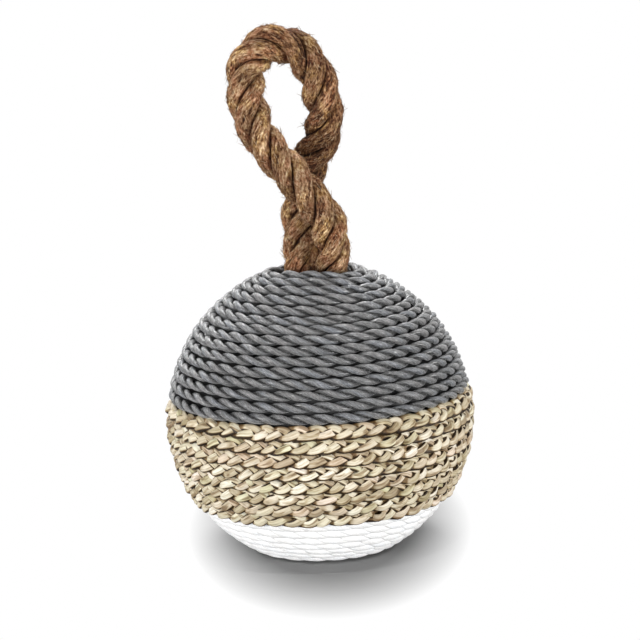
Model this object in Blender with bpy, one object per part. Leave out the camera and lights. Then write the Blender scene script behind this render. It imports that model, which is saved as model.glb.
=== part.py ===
"""Rope ball doorstop.

A sand-filled ball is wound with three cords, grey on top, natural braid round the middle
and white underneath. A thick rope loop comes out of the crown as the handle. Its two legs
cross once below the eye, go down through the crown and are clamped inside the ball.

Metres, +Z up. The origin is the middle of the base, on the floor.
"""

import math

import bmesh
import bpy
import numpy as np

# Fits
FIT_GAP = 0.0003
CORD_GAP = 0.00042
CORD_ROOM = 0.0010
FLOOR_CLEARANCE = 0.0003

# Hollow core, two half shells that lap at the equator
CORE_RADIUS = 0.0729
CORE_WALL = 0.0030
CORE_FLAT_RADIUS = 0.0294
LAP_HEIGHT = 0.0040
COLLAR_DEPTH = 0.0130
COLLAR_WALL = 0.0063
CORE_SEGMENTS = 36
CORE_ARC_STEP = math.radians(7.5)

# Filling, its plug and the pad under the base
SAND_HEADROOM = 0.0050
PLUG_BODY_DIAMETER = 0.0220
PLUG_HEAD_DIAMETER = 0.0300
PLUG_HEAD_THICKNESS = 0.0012
PAD_THICKNESS = 0.0035
PAD_ROOM = 0.0004
PAD_EDGE = 0.0006

# Wound cords. A band ends at an angle from the pole, as seen from the front, and holds as
# many whole turns as fit on the ball with at least the cord gap between them.
GREY_CORD_DIAMETER = 0.0052
BRAID_DIAMETER = 0.0063
WHITE_CORD_DIAMETER = 0.0052
GREY_BAND_END = math.radians(81.35)
BRAID_BAND_END = math.radians(121.95)
OVAL_TURNS = 5
HALF_TURN = 0.5
POINTS_PER_TURN = 22
LEAST_CORD_GAP = 0.0004
STRAIGHT_SHARE = 1.6

# Handle rope. Its legs are squeezed where they enter the crown.
ROPE_DIAMETER = 0.0205
ROPE_FOOT_DIAMETER = 0.0172
LOOP_HEIGHT = 0.1211
LEG_GAP = 0.0005
FOOT_TURN = math.radians(-20.0)
FOOT_STRAIGHT = 0.0050
FOOT_TAPER = 0.0260
ROPE_STEP = 0.0070
ROPE_SIDES_RESOLUTION = 4

# Clamp and seizing that hold the two rope ends
CLAMP_WALL = 0.0016
CLAMP_HEIGHT = 0.0120
ROPE_TAIL = 0.0126
SEIZING_HEIGHT = 0.0085
SEIZING_THICKNESS = 0.0012
SEIZING_INSET = 0.0018
EDGE_SHARE = 0.35

# Route of the handle rope above the crown, in shares of the loop's height: sideways, depth
# and height over the top of the core. It goes up from the right leg, round the eye and down
# to the left leg.
HANDLE_ROUTE_SHARES = (
    (0.0793, -0.0380, 0.1197),
    (0.0661, -0.0545, 0.1874),
    (0.0429, -0.0743, 0.2725),
    (-0.0083, -0.0867, 0.3509),
    (-0.0834, -0.0875, 0.4451),
    (-0.1569, -0.0718, 0.5367),
    (-0.2271, -0.0413, 0.6350),
    (-0.2609, -0.0182, 0.7349),
    (-0.2750, -0.0041, 0.8357),
    (-0.2626, 0.0000, 0.9166),
    (-0.2106, 0.0000, 0.9777),
    (-0.1371, 0.0000, 1.0000),
    (-0.0644, 0.0000, 0.9827),
    (0.0000, 0.0025, 0.9207),
    (0.0363, 0.0124, 0.8291),
    (0.0562, 0.0330, 0.7184),
    (0.0495, 0.0619, 0.6152),
    (0.0058, 0.0842, 0.5169),
    (-0.0355, 0.0925, 0.4203),
    (-0.0520, 0.0859, 0.3220),
    (-0.0603, 0.0644, 0.2064),
    (-0.0619, 0.0429, 0.1197),
)

# Mesh settings
MERGE_DISTANCE = 1e-6
SHARP_ANGLE = math.radians(35.0)
CORNER_ANGLE = math.radians(50.0)

# Places that follow from the sizes
CORE_FLAT_DEPTH = math.sqrt(CORE_RADIUS ** 2 - CORE_FLAT_RADIUS ** 2)
CENTRE_Z = PAD_THICKNESS + FIT_GAP + CORE_FLAT_DEPTH
CROWN_Z = CENTRE_Z + CORE_RADIUS
INNER_RADIUS = CORE_RADIUS - CORE_WALL
INNER_FLAT_DEPTH = CORE_FLAT_DEPTH - CORE_WALL
COLLAR_Z = CORE_RADIUS - COLLAR_DEPTH
CLAMP_TOP = COLLAR_Z - FIT_GAP
CLAMP_BOTTOM = CLAMP_TOP - CLAMP_HEIGHT
ROPE_END = CLAMP_BOTTOM - ROPE_TAIL
SAND_LEVEL = ROPE_END - SAND_HEADROOM
FOOT_RADIUS = ROPE_FOOT_DIAMETER / 2.0
FOOT_SPACING = ROPE_FOOT_DIAMETER + LEG_GAP
FOOT_REACH = FOOT_SPACING / 2.0 + FOOT_RADIUS
FOOT_AXIS = np.array([math.cos(FOOT_TURN), math.sin(FOOT_TURN), 0.0])
COLLAR_RADIUS = FOOT_REACH + FIT_GAP + COLLAR_WALL
CHORD_RATIO = math.cos(math.pi / POINTS_PER_TURN)


def clear_scene():
    for obj in list(bpy.data.objects):
        bpy.data.objects.remove(obj, do_unlink=True)


def make_material(name, colour, roughness, metallic=0.0):
    material = bpy.data.materials.new(name)
    material.use_nodes = True
    shader = material.node_tree.nodes["Principled BSDF"]
    shader.inputs["Base Color"].default_value = (*colour, 1.0)
    shader.inputs["Roughness"].default_value = roughness
    shader.inputs["Metallic"].default_value = metallic
    material.diffuse_color = (*colour, 1.0)
    return material


def add_object(name, data, material, height=0.0):
    obj = bpy.data.objects.new(name, data)
    obj.location = (0.0, 0.0, height)
    data.materials.append(material)
    bpy.context.scene.collection.objects.link(obj)
    return obj


def mesh_from(bm, name):
    bmesh.ops.recalc_face_normals(bm, faces=bm.faces)
    mesh = bpy.data.meshes.new(name)
    bm.to_mesh(mesh)
    bm.free()
    mesh.shade_smooth()
    mesh.set_sharp_from_angle(angle=SHARP_ANGLE)
    return mesh


def arc_profile(radius, start, end):
    """Points (r, z) on a circle about the ball's centre, angles measured down from +Z."""
    count = max(2, round(abs(end - start) / CORE_ARC_STEP))
    angles = [start + (end - start) * i / count for i in range(count + 1)]
    return [(radius * math.sin(a), radius * math.cos(a)) for a in angles]


def turned_mesh(name, profile, closed):
    """Revolve (r, z) points about Z. An open profile starts and ends on the axis."""
    bm = bmesh.new()
    verts = [bm.verts.new((max(r, 0.0), 0.0, z)) for r, z in profile]
    edges = [bm.edges.new(pair) for pair in zip(verts[:-1], verts[1:])]
    if closed:
        edges.append(bm.edges.new((verts[-1], verts[0])))
    bmesh.ops.spin(
        bm,
        geom=verts + edges,
        axis=(0.0, 0.0, 1.0),
        cent=(0.0, 0.0, 0.0),
        angle=2.0 * math.pi,
        steps=CORE_SEGMENTS,
        use_merge=True,
    )
    bmesh.ops.remove_doubles(bm, verts=bm.verts, dist=MERGE_DISTANCE)
    return mesh_from(bm, name)


def foot_outline(offset, arc_points=12):
    """Outline round both squeezed legs of the rope, kept a set distance from them."""
    radius = FOOT_RADIUS + offset
    points = []
    for end, first in ((1.0, -math.pi / 2.0), (-1.0, math.pi / 2.0)):
        for i in range(arc_points + 1):
            angle = FOOT_TURN + first + math.pi * i / arc_points
            centre = FOOT_AXIS * (end * FOOT_SPACING / 2.0)
            points.append((centre[0] + radius * math.cos(angle), centre[1] + radius * math.sin(angle)))
    return points


def prism_mesh(name, outline, bottom, top, hole=None):
    """Straight prism over an outline, with an open hole where one is given."""
    bm = bmesh.new()
    rings = []
    for shape in (outline, hole):
        if shape is None:
            continue
        low = [bm.verts.new((x, y, bottom)) for x, y in shape]
        high = [bm.verts.new((x, y, top)) for x, y in shape]
        rings.append((low, high))
        for i in range(len(shape)):
            j = (i + 1) % len(shape)
            bm.faces.new((low[i], low[j], high[j], high[i]))
    if hole is None:
        bm.faces.new(rings[0][0])
        bm.faces.new(rings[0][1])
    else:
        for level in (0, 1):
            outer = rings[0][level]
            inner = rings[1][level]
            for i in range(len(outer)):
                j = (i + 1) % len(outer)
                bm.faces.new((outer[i], outer[j], inner[j], inner[i]))
    return mesh_from(bm, name)


def cut_with(obj, cutter_mesh, height):
    cutter = bpy.data.objects.new(cutter_mesh.name, cutter_mesh)
    cutter.location = (0.0, 0.0, height)
    cutter.hide_render = True
    cutter.display_type = "WIRE"
    bpy.context.scene.collection.objects.link(cutter)
    modifier = obj.modifiers.new("opening", "BOOLEAN")
    modifier.operation = "DIFFERENCE"
    modifier.object = cutter


def round_edges(obj, width):
    modifier = obj.modifiers.new("rounded edges", "BEVEL")
    modifier.width = width
    modifier.segments = 2
    modifier.limit_method = "ANGLE"
    modifier.angle_limit = CORNER_ANGLE


# Core and filling


def upper_shell(material):
    """Top half of the core, with a thick collar round the rope's way through the crown."""
    lap_radius = CORE_RADIUS - CORE_WALL / 2.0
    inner_start = math.acos(LAP_HEIGHT / INNER_RADIUS)
    inner_end = math.asin(COLLAR_RADIUS / INNER_RADIUS)
    profile = arc_profile(CORE_RADIUS, 0.0, math.pi / 2.0)
    profile += [(lap_radius, 0.0), (lap_radius, LAP_HEIGHT)]
    profile += arc_profile(INNER_RADIUS, inner_start, inner_end)
    profile += [(COLLAR_RADIUS, COLLAR_Z), (0.0, COLLAR_Z)]
    shell = add_object("core_upper_shell", turned_mesh("upper_shell", profile, False), material, CENTRE_Z)
    margin = CORE_WALL
    way = prism_mesh("rope_way", foot_outline(FIT_GAP), COLLAR_Z - margin, CORE_RADIUS + margin)
    cut_with(shell, way, CENTRE_Z)
    return shell


def lower_shell(material):
    """Bottom half of the core: a flat base with the filling hole and a spigot for the lap."""
    spigot_radius = CORE_RADIUS - CORE_WALL / 2.0 - FIT_GAP
    spigot_top = LAP_HEIGHT - FIT_GAP
    hole_radius = PLUG_BODY_DIAMETER / 2.0 + FIT_GAP
    seat_radius = PLUG_HEAD_DIAMETER / 2.0 + FIT_GAP
    seat_z = -CORE_FLAT_DEPTH + PLUG_HEAD_THICKNESS + FIT_GAP
    outer_start = math.acos(-FIT_GAP / CORE_RADIUS)
    outer_end = math.acos(-CORE_FLAT_DEPTH / CORE_RADIUS)
    inner_start = math.acos(-INNER_FLAT_DEPTH / INNER_RADIUS)
    profile = arc_profile(CORE_RADIUS, outer_start, outer_end)
    profile += [(seat_radius, -CORE_FLAT_DEPTH), (seat_radius, seat_z), (hole_radius, seat_z)]
    profile += [(hole_radius, -INNER_FLAT_DEPTH)]
    profile += arc_profile(INNER_RADIUS, inner_start, math.pi / 2.0)
    profile += [(INNER_RADIUS, spigot_top), (spigot_radius, spigot_top), (spigot_radius, -FIT_GAP)]
    return add_object("core_lower_shell", turned_mesh("lower_shell", profile, True), material, CENTRE_Z)


def sand_ballast(material):
    """Loose sand that fills the core up to just below the rope ends."""
    radius = INNER_RADIUS - FIT_GAP
    floor_depth = INNER_FLAT_DEPTH - FIT_GAP
    top_angle = math.acos(SAND_LEVEL / radius)
    bottom_angle = math.acos(-floor_depth / radius)
    profile = [(0.0, SAND_LEVEL)]
    profile += arc_profile(radius, top_angle, bottom_angle)
    profile += [(0.0, -floor_depth)]
    return add_object("sand_ballast", turned_mesh("sand", profile, False), material, CENTRE_Z)


def filler_plug(material):
    """Push-in plug that closes the filling hole, its head sunk in the flat base."""
    head_bottom = -CORE_FLAT_DEPTH
    head_top = head_bottom + PLUG_HEAD_THICKNESS
    body_top = -INNER_FLAT_DEPTH
    head_radius = PLUG_HEAD_DIAMETER / 2.0
    body_radius = PLUG_BODY_DIAMETER / 2.0
    lead = PLUG_HEAD_THICKNESS / 2.0
    profile = [(0.0, body_top), (body_radius - lead, body_top), (body_radius, body_top - lead)]
    profile += [(body_radius, head_top), (head_radius, head_top), (head_radius, head_bottom)]
    profile += [(0.0, head_bottom)]
    return add_object("filler_plug", turned_mesh("plug", profile, False), material, CENTRE_Z)


def base_pad(material):
    """Felt disc that the doorstop stands on, inside the lowest turn of the white cord."""
    last_turn = winding_point(ALL_TURNS, line_radius(WHITE_CORD_DIAMETER))
    inner_edge = math.hypot(last_turn[0], last_turn[1]) * CHORD_RATIO - WHITE_CORD_DIAMETER / 2.0
    radius = inner_edge - PAD_ROOM
    profile = [(0.0, PAD_THICKNESS), (radius - PAD_EDGE, PAD_THICKNESS), (radius, PAD_THICKNESS - PAD_EDGE)]
    profile += [(radius, PAD_EDGE), (radius - PAD_EDGE, 0.0), (0.0, 0.0)]
    return add_object("base_pad", turned_mesh("pad", profile, False), material)


# Windings


def line_radius(cord_diameter):
    """Radius of the ball that a cord's middle lies on, so that its chords clear the core."""
    return (CORE_RADIUS + FIT_GAP + cord_diameter / 2.0) / CHORD_RATIO


def first_turn_angle(around):
    """Angle from the pole of a turn that hugs both legs of the handle, in one direction."""
    side_radius = FOOT_RADIUS + FIT_GAP + GREY_CORD_DIAMETER / 2.0 + CORD_ROOM
    half = FOOT_SPACING / 2.0
    along = abs(math.cos(around - FOOT_TURN))
    across = abs(math.sin(around - FOOT_TURN))
    if side_radius * along <= half * across:
        distance = side_radius / across
    else:
        distance = half * along + math.sqrt(side_radius ** 2 - (half * across) ** 2)
    return math.asin(distance / line_radius(GREY_CORD_DIAMETER))


def last_turn_angle():
    """Angle from the pole of the lowest turn, which just clears the floor."""
    depth = CENTRE_Z - FLOOR_CLEARANCE - WHITE_CORD_DIAMETER / 2.0
    return math.pi - math.acos(depth / line_radius(WHITE_CORD_DIAMETER))


def whole_turns(span, diameter, outside=0.0):
    """Whole turns of a cord, and the angle from one turn to the next.

    The part of a turn called outside lies beyond the span, at the neighbouring cord's pitch.
    """
    least_pitch = (diameter + CORD_GAP) / line_radius(diameter)
    turns = math.floor(span / least_pitch + outside)
    return turns, span / (turns - outside)


def plan_bands():
    """Number of turns of each cord and the angle between them.

    The braid's wider pitch starts half a turn before the braid and ends half a turn after
    it, so that wide and narrow turns lie beside each other without climbing.
    """
    braid_turns, braid_pitch = whole_turns(BRAID_BAND_END - GREY_BAND_END, BRAID_DIAMETER)
    grey_span = GREY_BAND_END - first_turn_angle(FOOT_TURN) - braid_pitch / 2.0
    grey_turns, grey_pitch = whole_turns(grey_span, GREY_CORD_DIAMETER, HALF_TURN)
    white_span = last_turn_angle() - BRAID_BAND_END - braid_pitch / 2.0
    white_turns, white_pitch = whole_turns(white_span, WHITE_CORD_DIAMETER, HALF_TURN)
    return (grey_turns, braid_turns, white_turns), (grey_pitch, braid_pitch, white_pitch)


BAND_TURNS, BAND_PITCHES = plan_bands()
ALL_TURNS = sum(BAND_TURNS)


def winding_angle(turn, around):
    """Angle from the pole after a number of turns, over all three cords.

    The first turns are oval round the handle and grow into round ones.
    """
    grey_end = BAND_TURNS[0] - HALF_TURN
    braid_end = BAND_TURNS[0] + BAND_TURNS[1] + HALF_TURN
    grey_part = min(turn, grey_end)
    braid_part = min(max(turn - grey_end, 0.0), braid_end - grey_end)
    white_part = max(turn - braid_end, 0.0)
    round_angle = first_turn_angle(FOOT_TURN)
    oval_share = max(1.0 - turn / OVAL_TURNS, 0.0)
    angle = round_angle - (round_angle - first_turn_angle(around)) * oval_share
    return angle + float(np.dot((grey_part, braid_part, white_part), BAND_PITCHES))


def winding_direction(turn):
    return math.pi / 2.0 - 2.0 * math.pi * turn


def winding_point(turn, radius):
    """Point on the spiral. It starts at the back and runs clockwise, seen from above."""
    around = winding_direction(turn)
    down = winding_angle(turn, around)
    flat = radius * math.sin(down)
    return np.array([flat * math.cos(around), flat * math.sin(around), CENTRE_Z + radius * math.cos(down)])


def turns_for_length(turn, radius, length):
    """Share of a turn that takes up a length of cord at this place on the ball."""
    down = winding_angle(turn, winding_direction(turn))
    return length / (2.0 * math.pi * radius * math.sin(down))


def straight_end(turn, radius, diameter, forward, meets):
    """Two points of a straight end. One that meets another cord is square to the spiral there."""
    corner = winding_point(turn, radius)
    share = forward * turns_for_length(turn, radius, diameter)
    inner = winding_point(turn + share, radius)
    if not meets:
        return [corner, inner]
    tangent = inner - winding_point(turn - share, radius)
    tangent /= np.linalg.norm(tangent)
    return [corner + tangent * (FIT_GAP / 2.0), corner + tangent * (FIT_GAP / 2.0 + diameter)]


def winding_points(first_turn, turns, diameter):
    """Middle line of one cord: even steps round the ball between two straight ends."""
    radius = line_radius(diameter)
    last_turn = first_turn + turns
    start = straight_end(first_turn, radius, diameter, 1.0, first_turn > 0)
    end = straight_end(last_turn, radius, diameter, -1.0, last_turn < ALL_TURNS)
    marks = [first_turn + i / POINTS_PER_TURN for i in range(1, turns * POINTS_PER_TURN)]
    start_clear = first_turn + turns_for_length(first_turn, radius, STRAIGHT_SHARE * diameter)
    end_clear = last_turn - turns_for_length(last_turn, radius, STRAIGHT_SHARE * diameter)
    line = [winding_point(mark, radius) for mark in marks if start_clear < mark < end_clear]
    return start + line + end[::-1]


def least_gap(points, diameter, skip):
    """Least clear distance between stretches of one tube, points nearer than skip left out."""
    line = np.array(points)
    least = math.inf
    for i in range(len(line) - skip):
        distances = np.linalg.norm(line[i + skip:] - line[i], axis=1)
        least = min(least, float(distances.min()))
    return least - diameter


def tube_object(name, points, diameter, resolution, material, scales=None):
    curve = bpy.data.curves.new(name, "CURVE")
    curve.dimensions = "3D"
    curve.twist_mode = "Z_UP" if scales is None else "MINIMUM"
    curve.bevel_depth = diameter / 2.0
    curve.bevel_resolution = resolution
    curve.use_fill_caps = True
    spline = curve.splines.new("POLY")
    spline.points.add(len(points) - 1)
    for i, point in enumerate(points):
        spline.points[i].co = (*point, 1.0)
        spline.points[i].radius = 1.0 if scales is None else scales[i]
    spline.use_smooth = True
    return add_object(name, curve, material)


def wound_cord(name, first_turn, turns, diameter, material):
    points = winding_points(first_turn, turns, diameter)
    gap = least_gap(points, diameter, POINTS_PER_TURN // 2)
    length = float(np.linalg.norm(np.diff(np.array(points), axis=0), axis=1).sum())
    print(f"{name}: {turns} turns, {length:.3f} m, least gap to itself {gap * 1000.0:.2f} mm")
    if gap < LEAST_CORD_GAP:
        print(f"{name}: the turns lie closer than {LEAST_CORD_GAP * 1000.0:.1f} mm")
    return tube_object(name, points, diameter, 1, material)


# Handle


def smooth_line(route, steps=16):
    """Catmull-Rom curve through the route's points."""
    points = np.array(route)
    padded = np.vstack([2.0 * points[0] - points[1], points, 2.0 * points[-1] - points[-2]])
    line = []
    for a, b, c, d in zip(padded[:-3], padded[1:-2], padded[2:-1], padded[3:]):
        for i in range(steps):
            t = i / steps
            curve = 2.0 * b + (c - a) * t
            curve = curve + (2.0 * a - 5.0 * b + 4.0 * c - d) * t ** 2
            curve = curve + (3.0 * b - a - 3.0 * c + d) * t ** 3
            line.append(curve / 2.0)
    line.append(points[-1])
    return np.array(line)


def even_points(line, step):
    lengths = np.concatenate([[0.0], np.cumsum(np.linalg.norm(np.diff(line, axis=0), axis=1))])
    count = round(lengths[-1] / step)
    marks = np.linspace(0.0, lengths[-1], count + 1)
    return np.stack([np.interp(marks, lengths, line[:, axis]) for axis in range(3)], axis=1)


def rope_line():
    """Middle line of the handle rope, from one end inside the core to the other."""
    crown = np.array([0.0, 0.0, CROWN_Z])
    route = [tuple(crown + LOOP_HEIGHT * np.array(place)) for place in HANDLE_ROUTE_SHARES]
    legs = []
    for side in (1.0, -1.0):
        foot = FOOT_AXIS * (side * FOOT_SPACING / 2.0)
        heights = (CENTRE_Z + ROPE_END, CENTRE_Z + CLAMP_TOP, CROWN_Z, CROWN_Z + FOOT_STRAIGHT)
        legs.append([(foot[0], foot[1], height) for height in heights])
    return even_points(smooth_line(legs[0] + route + legs[1][::-1]), ROPE_STEP)


def rope_scale(height):
    """Share of the full diameter that the rope has at a height over the crown."""
    foot = ROPE_FOOT_DIAMETER / ROPE_DIAMETER
    t = min(max((height - FOOT_STRAIGHT) / FOOT_TAPER, 0.0), 1.0)
    return foot + (1.0 - foot) * t * t * (3.0 - 2.0 * t)


def handle_rope(material):
    points = rope_line()
    scales = [rope_scale(point[2] - CROWN_Z) for point in points]
    length = float(np.linalg.norm(np.diff(points, axis=0), axis=1).sum())
    print(f"handle_rope: {length:.3f} m, {len(points)} points")
    return tube_object("handle_rope", points, ROPE_DIAMETER, ROPE_SIDES_RESOLUTION, material, scales)


def rope_clamp(material):
    """Oval steel sleeve pressed round both legs, too wide to go up through the collar."""
    inner = foot_outline(FIT_GAP)
    outer = foot_outline(FIT_GAP + CLAMP_WALL)
    mesh = prism_mesh("clamp", outer, CLAMP_BOTTOM, CLAMP_TOP, inner)
    clamp = add_object("rope_clamp", mesh, material, CENTRE_Z)
    round_edges(clamp, CLAMP_WALL * EDGE_SHARE)
    return clamp


def rope_seizing(material):
    """Tight band of twine round both legs near their cut ends, which stops them from opening."""
    inner = foot_outline(FIT_GAP)
    outer = foot_outline(FIT_GAP + SEIZING_THICKNESS)
    low = ROPE_END + SEIZING_INSET
    mesh = prism_mesh("seizing", outer, low, low + SEIZING_HEIGHT, inner)
    band = add_object("rope_end_seizing", mesh, material, CENTRE_Z)
    round_edges(band, SEIZING_THICKNESS * EDGE_SHARE)
    return band


def build():
    clear_scene()
    shell = make_material("core_plastic", (0.055, 0.055, 0.058), 0.55)
    sand = make_material("sand", (0.56, 0.44, 0.29), 0.95)
    felt = make_material("felt", (0.10, 0.10, 0.105), 0.95)
    steel = make_material("clamp_steel", (0.62, 0.62, 0.63), 0.35, 1.0)
    twine = make_material("seizing_twine", (0.62, 0.55, 0.42), 0.85)
    rope = make_material("brown_rope", (0.27, 0.15, 0.07), 0.9)
    grey = make_material("grey_cord", (0.22, 0.22, 0.225), 0.5)
    braid = make_material("natural_braid", (0.60, 0.46, 0.27), 0.75)
    white = make_material("white_cord", (0.86, 0.86, 0.84), 0.55)
    upper_shell(shell)
    lower_shell(shell)
    sand_ballast(sand)
    filler_plug(shell)
    grey_turns, braid_turns, white_turns = BAND_TURNS
    wound_cord("grey_cord_winding", 0, grey_turns, GREY_CORD_DIAMETER, grey)
    wound_cord("natural_braid_winding", grey_turns, braid_turns, BRAID_DIAMETER, braid)
    wound_cord("white_cord_winding", grey_turns + braid_turns, white_turns, WHITE_CORD_DIAMETER, white)
    base_pad(felt)
    handle_rope(rope)
    rope_clamp(steel)
    rope_seizing(twine)


build()
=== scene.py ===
"""Dressed model of the rope ball doorstop.

The ball is wound with a grey two-ply cord, a natural three-strand plait and a white two-ply
cord. The handle is a loop of three-strand laid rope. Metres, +Z up, in the frame's own place.
"""

import math

import bpy
import numpy as np
from mathutils import Matrix


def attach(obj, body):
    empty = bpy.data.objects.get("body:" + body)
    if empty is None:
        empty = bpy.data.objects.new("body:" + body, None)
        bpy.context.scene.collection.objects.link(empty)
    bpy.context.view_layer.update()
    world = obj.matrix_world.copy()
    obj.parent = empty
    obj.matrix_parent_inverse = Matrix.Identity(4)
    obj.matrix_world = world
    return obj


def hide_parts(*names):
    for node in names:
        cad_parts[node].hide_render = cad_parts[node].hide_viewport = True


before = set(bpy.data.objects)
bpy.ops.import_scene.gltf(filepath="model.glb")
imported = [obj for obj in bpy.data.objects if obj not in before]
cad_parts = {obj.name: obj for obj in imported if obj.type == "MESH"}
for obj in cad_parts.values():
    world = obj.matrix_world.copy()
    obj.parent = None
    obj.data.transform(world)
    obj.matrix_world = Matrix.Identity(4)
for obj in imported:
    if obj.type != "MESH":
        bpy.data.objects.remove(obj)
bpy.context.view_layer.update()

# Camera, at the photograph's angle
CAMERA_PLACE = (0.0, -1.16684, 0.35063)
CAMERA_DOWN = math.radians(11.163)
CAMERA_TURN = math.radians(-0.0734)
CAMERA_ROLL = math.radians(-1.75)
FOCAL_PIXELS = 2277.9
FRAME_PIXELS = 640.0
SENSOR_WIDTH = 36.0

# Light: the world's level, and each lamp's name, place, point it faces, diameter and watts
WORLD_LEVEL = 0.11
LAMPS = (
    ("top_back", (-0.06, 0.62, 1.10), (0.0, -0.02, 0.04), 0.60, 15.0),
    ("front_left", (-1.18, -0.66, 0.18), (0.0, 0.0, 0.08), 0.40, 13.6),
    ("front_right", (1.20, -0.68, 0.14), (0.0, 0.0, 0.07), 0.40, 14.2),
    ("front_low", (0.0, -1.30, 0.10), (0.0, 0.0, 0.06), 0.24, 5.9),
    ("glint", (0.10, -0.50, 0.95), (0.0, 0.0, 0.10), 0.05, 2.0),
)

# Floor: grey paper, a painted shade that deepens the shadow, shows in an oval round the object.
# Outside it, a glow seen only by the camera fades it to plain white: a painted shadow edge.
FLOOR_HALF = 3.0
SHADOW_CENTRE = (0.0036, 0.042, 0.0)
SHADOW_REACH = (0.077, 0.170, 1.0)
SHADOW_FADE_START = 0.59
SHADOW_FADE_CURVE = 1.18

# Core, shared with the solids
FIT_GAP = 0.0003
CORE_RADIUS = 0.0729
CORE_FLAT_RADIUS = 0.0294
PAD_THICKNESS = 0.0035
CENTRE_Z = PAD_THICKNESS + FIT_GAP + math.sqrt(CORE_RADIUS ** 2 - CORE_FLAT_RADIUS ** 2)
CROWN_Z = CENTRE_Z + CORE_RADIUS

# Winding, shared with the solids
CORD_DIAMETER = 0.0052
CORD_ROOM = 0.0010
GREY_TURNS = 15
BRAID_TURNS = 8
WHITE_TURNS = 7
GREY_BAND_END = math.radians(81.35)
BRAID_BAND_END = math.radians(121.95)
OVAL_TURNS = 5
HALF_TURN = 0.5
POINTS_PER_TURN = 22
WOUND_RADIUS = (CORE_RADIUS + FIT_GAP + CORD_DIAMETER / 2.0) / math.cos(math.pi / POINTS_PER_TURN)

# Handle rope, shared with the solids. Heights inside the ball are over its centre.
ROPE_DIAMETER = 0.0205
ROPE_FOOT_DIAMETER = 0.0172
LEG_GAP = 0.0005
FOOT_SPACING = ROPE_FOOT_DIAMETER + LEG_GAP
FOOT_TURN = math.radians(-20.0)
FOOT_AXIS = np.array([math.cos(FOOT_TURN), math.sin(FOOT_TURN), 0.0])
FOOT_STRAIGHT = 0.0050
FOOT_TAPER = 0.0260
LOOP_HEIGHT = 0.1211
ROPE_END = 0.0347
CLAMP_TOP = 0.0596

# Route of the handle rope above the crown, in shares of the loop's height: sideways, depth
# and height over the top of the core. It goes up from the right leg, round the eye and down
# to the left leg.
HANDLE_ROUTE = (
    (0.0793, -0.0380, 0.1197),
    (0.0661, -0.0545, 0.1874),
    (0.0429, -0.0743, 0.2725),
    (-0.0083, -0.0867, 0.3509),
    (-0.0834, -0.0875, 0.4451),
    (-0.1569, -0.0718, 0.5367),
    (-0.2271, -0.0413, 0.6350),
    (-0.2609, -0.0182, 0.7349),
    (-0.2750, -0.0041, 0.8357),
    (-0.2626, 0.0000, 0.9166),
    (-0.2106, 0.0000, 0.9777),
    (-0.1371, 0.0000, 1.0000),
    (-0.0644, 0.0000, 0.9827),
    (0.0000, 0.0025, 0.9207),
    (0.0363, 0.0124, 0.8291),
    (0.0562, 0.0330, 0.7184),
    (0.0495, 0.0619, 0.6152),
    (0.0058, 0.0842, 0.5169),
    (-0.0355, 0.0925, 0.4203),
    (-0.0520, 0.0859, 0.3220),
    (-0.0603, 0.0644, 0.2064),
    (-0.0619, 0.0429, 0.1197),
)

# Handle rope as it shows. Here and below, what varies along a strand is given as an amount,
# the length of its cells and a seed of its own. The relief's cells are given by their sizes
# along and across the strand, and the painted light and shade by the length from the right leg's
# cut end.
ROPE_STEP = 0.00045
ROPE_FOOT_SHOWN = 0.0176
ROPE_HIDDEN_DEPTH = 0.0080
ROPE_LAY = 0.0500
ROPE_LAY_SHIFT = -0.0053
ROPE_STRANDS = 3
ROPE_SECTION = {"points": 41, "offset": 0.40, "seam": 0.10, "seam_width": 0.08}
ROPE_FULLNESS = 0.965
ROPE_SMOOTHING = 6
ROPE_DRIFT = (0.20, 0.045, 1)
ROPE_SWELL = (0.045, 0.013, 2)
# The GROOVE values give the painted shade in the grooves between the strands: where it starts,
# its strength and how that varies
GROOVE_START = 0.14
GROOVE_SHADE_STRENGTH = 3.0
GROOVE_VARIES = (1.6, 0.011, 7)
LUMP_HEIGHT = 0.00030
YARN_HEIGHT = 0.00050
FIBRE_HEIGHT = 0.00030
RELIEF_SUNK = 0.00012
LUMP_CELL = (0.0055, 0.0045)
YARN_CELL = (0.0046, 0.00145)
CROSSED_YARN_CELL = (0.0040, 0.0016)
FIBRE_CELL = (0.0017, 0.00064)
YARN_SLANT = 0.6
CROSSED_YARN_SLANT = 0.95
# Painted light and shade along the rope, as (length, shade): lighter and darker stretches,
# deepest in a painted shadow under the crossing near 0.257
ROPE_PAINTED_SHADE = (
    (0.075, 0.0),
    (0.095, 0.07),
    (0.115, 0.07),
    (0.140, -0.03),
    (0.170, 0.05),
    (0.190, -0.17),
    (0.235, -0.20),
    (0.250, -0.30),
    (0.257, -0.45),
    (0.266, -0.35),
    (0.274, 0.0),
)

# Loose fibres on the rope. The rise and width are ranges, the curl a mean and its spread.
LOOSE_FIBRES = 7000
LOOSE_LENGTHS = (0.0014, 0.0042)
LYING = {"rise": (0.02, 0.20), "curl": (-0.05, 0.12), "width": (0.00008, 0.00022)}
STANDING = {"rise": (0.25, 0.80), "curl": (-0.30, 0.4), "width": (0.00007, 0.00010)}
STANDING_SHARE = 0.055
STANDING_LENGTH = 0.45
FIBRE_SLANT = 0.5
FIBRE_SLANT_SPREAD = 0.35
FIBRE_SIDE_CURL = 0.5
FIBRE_ROOT_DEPTH = 0.0002
FIBRE_THINNING = 0.7

# Fibres pressed between the handle's legs
TUFT_BOTTOM = -0.0040
TUFT_TOP = 0.0180
TUFT_RADII = (0.0047, 0.0046)
TUFT_RINGS = 40
TUFT_SIDES = 24

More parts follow.
